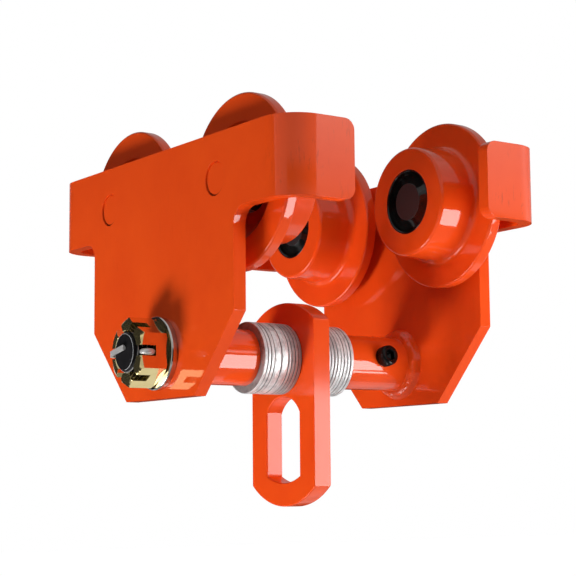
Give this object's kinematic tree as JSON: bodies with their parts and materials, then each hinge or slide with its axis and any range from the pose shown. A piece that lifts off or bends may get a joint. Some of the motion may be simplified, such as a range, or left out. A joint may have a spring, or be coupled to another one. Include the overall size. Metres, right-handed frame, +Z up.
{
  "type": "manual beam trolley",
  "caption": "Push trolley for an I-beam: bent side plates with flanged wheels, joined by a shaft with sleeves and spacers that carries a swinging slotted hanger plate.",
  "frame": {"origin": "on the surface that the four treads roll on, mid-way between the wheels in both directions", "axes": "+X along the beam, +Y along the load shaft from the nut to its plain end, +Z up"},
  "size_m": [0.268, 0.217, 0.2386],
  "materials": {
    "orange_paint": "glossy orange enamel over formed and cast steel",
    "black_oxide": "blackened steel",
    "zinc_plate": "bright zinc plate, nearly mirror-like",
    "bright_steel": "bare drawn wire",
    "spacer_metal": "bright plated spacers",
    "axle_steel": "turned steel; its end in the plate is painted over with the plate",
    "bearing_steel": "ground and hardened",
    "cage_steel": "pressed sheet steel",
    "seal_rubber": "black nitrile",
    "spring_steel": "phosphated spring steel",
    "cap_plastic": "glossy black moulding"
  },
  "bodies": {
    "frame": {"near_side_plate": "orange_paint", "far_side_plate": "orange_paint", "near_sleeve": "orange_paint", "far_sleeve": "orange_paint", "load_shaft": "black_oxide", "stopper_screw": "black_oxide", "nut_washer": "zinc_plate", "castle_nut": "zinc_plate", "split_pin": "bright_steel", "near_spacers": "spacer_metal", "far_spacers": "spacer_metal", "axle_near_left": "axle_steel", "inner_race_near_left": "bearing_steel", "axle_circlip_near_left": "spring_steel", "axle_near_right": "axle_steel", "inner_race_near_right": "bearing_steel", "axle_circlip_near_right": "spring_steel", "axle_far_left": "axle_steel", "inner_race_far_left": "bearing_steel", "axle_circlip_far_left": "spring_steel", "axle_far_right": "axle_steel", "inner_race_far_right": "bearing_steel", "axle_circlip_far_right": "spring_steel"},
    "hanger": {"hanger_plate": "orange_paint"},
    "wheel_near_left": {"wheel_near_left": "orange_paint", "outer_race_near_left": "bearing_steel", "bearing_seals_near_left": "seal_rubber", "bore_circlip_near_left": "spring_steel", "dust_cap_near_left": "cap_plastic"},
    "cage_near_left": {"ball_set_near_left": "bearing_steel", "ball_cage_near_left": "cage_steel"},
    "wheel_near_right": {"wheel_near_right": "orange_paint", "outer_race_near_right": "bearing_steel", "bearing_seals_near_right": "seal_rubber", "bore_circlip_near_right": "spring_steel", "dust_cap_near_right": "cap_plastic"},
    "cage_near_right": {"ball_set_near_right": "bearing_steel", "ball_cage_near_right": "cage_steel"},
    "wheel_far_left": {"wheel_far_left": "orange_paint", "outer_race_far_left": "bearing_steel", "bearing_seals_far_left": "seal_rubber", "bore_circlip_far_left": "spring_steel", "dust_cap_far_left": "cap_plastic"},
    "cage_far_left": {"ball_set_far_left": "bearing_steel", "ball_cage_far_left": "cage_steel"},
    "wheel_far_right": {"wheel_far_right": "orange_paint", "outer_race_far_right": "bearing_steel", "bearing_seals_far_right": "seal_rubber", "bore_circlip_far_right": "spring_steel", "dust_cap_far_right": "cap_plastic"},
    "cage_far_right": {"ball_set_far_right": "bearing_steel", "ball_cage_far_right": "cage_steel"}
  },
  "joints": [
    {"name": "hanger_swing", "type": "hinge", "parent": "frame", "child": "hanger", "pos_m": [0, 0, -0.061], "axis": [0, 1, 0], "range_deg": [-90, 90]},
    {"name": "wheel_spin_near_left", "type": "hinge", "parent": "frame", "child": "wheel_near_left", "pos_m": [-0.0623, -0.05895, 0.0345], "axis": [0, 1, 0], "continuous": true},
    {"name": "cage_spin_near_left", "type": "hinge", "parent": "frame", "child": "cage_near_left", "pos_m": [-0.0623, -0.05895, 0.0345], "axis": [0, 1, 0], "continuous": true},
    {"name": "wheel_spin_near_right", "type": "hinge", "parent": "frame", "child": "wheel_near_right", "pos_m": [0.0623, -0.05895, 0.0345], "axis": [0, 1, 0], "continuous": true},
    {"name": "cage_spin_near_right", "type": "hinge", "parent": "frame", "child": "cage_near_right", "pos_m": [0.0623, -0.05895, 0.0345], "axis": [0, 1, 0], "continuous": true},
    {"name": "wheel_spin_far_left", "type": "hinge", "parent": "frame", "child": "wheel_far_left", "pos_m": [-0.0623, 0.05895, 0.0345], "axis": [0, 1, 0], "continuous": true},
    {"name": "cage_spin_far_left", "type": "hinge", "parent": "frame", "child": "cage_far_left", "pos_m": [-0.0623, 0.05895, 0.0345], "axis": [0, 1, 0], "continuous": true},
    {"name": "wheel_spin_far_right", "type": "hinge", "parent": "frame", "child": "wheel_far_right", "pos_m": [0.0623, 0.05895, 0.0345], "axis": [0, 1, 0], "continuous": true},
    {"name": "cage_spin_far_right", "type": "hinge", "parent": "frame", "child": "cage_far_right", "pos_m": [0.0623, 0.05895, 0.0345], "axis": [0, 1, 0], "continuous": true}
  ],
  "couplings": [
    {"joint": "cage_spin_near_left", "follows": "wheel_spin_near_left", "ratio": 0.6184},
    {"joint": "cage_spin_near_right", "follows": "wheel_spin_near_right", "ratio": 0.6184},
    {"joint": "cage_spin_far_left", "follows": "wheel_spin_far_left", "ratio": 0.6184},
    {"joint": "cage_spin_far_right", "follows": "wheel_spin_far_right", "ratio": 0.6184}
  ]
}
